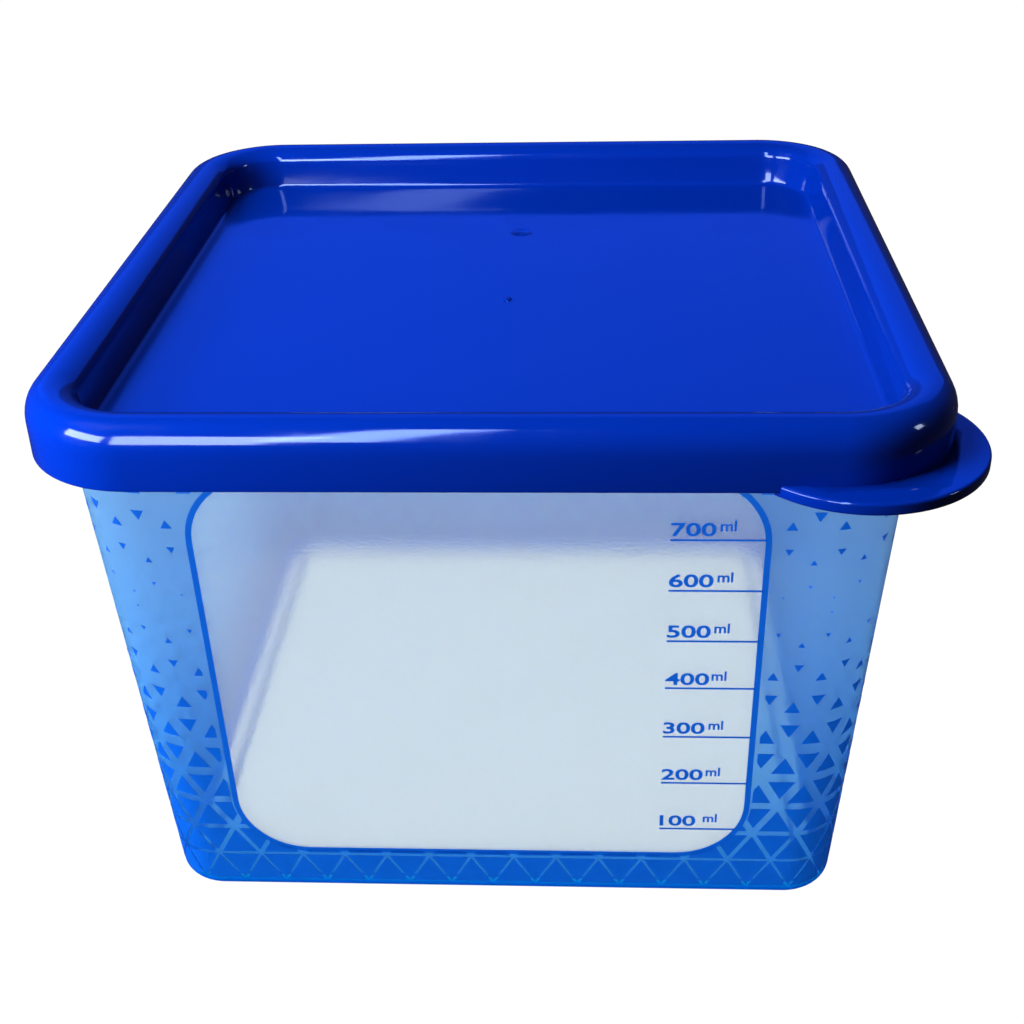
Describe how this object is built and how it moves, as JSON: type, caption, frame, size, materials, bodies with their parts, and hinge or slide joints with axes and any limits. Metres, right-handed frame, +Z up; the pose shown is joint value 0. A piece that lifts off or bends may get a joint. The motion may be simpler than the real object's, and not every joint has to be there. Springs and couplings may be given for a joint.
{
  "type": "freezer container",
  "caption": "Square translucent food tub with tapering walls, a clear measuring window and a press-on lid with a rounded rim, a sunken panel and a corner tab.",
  "frame": {"origin": "middle of the outer box's bottom, on the ground under the tub; the lid's corner tab moves it 2.2 mm along +X and -Y off the tub's own upright axis", "axes": "+Z up, -Y is the front with the measuring window, +X to the right seen from the front, the tab is over the +X -Y corner"},
  "size_m": [0.127, 0.127, 0.086],
  "materials": {
    "frosted_plastic": "frosted, translucent, satin",
    "lid_plastic": "smooth and glossy, solid blue",
    "print_ink": "flat blue ink printed on the outside of the tub"
  },
  "bodies": {
    "root": {"tub": "frosted_plastic", "lid": "lid_plastic"}
  },
  "joints": []
}
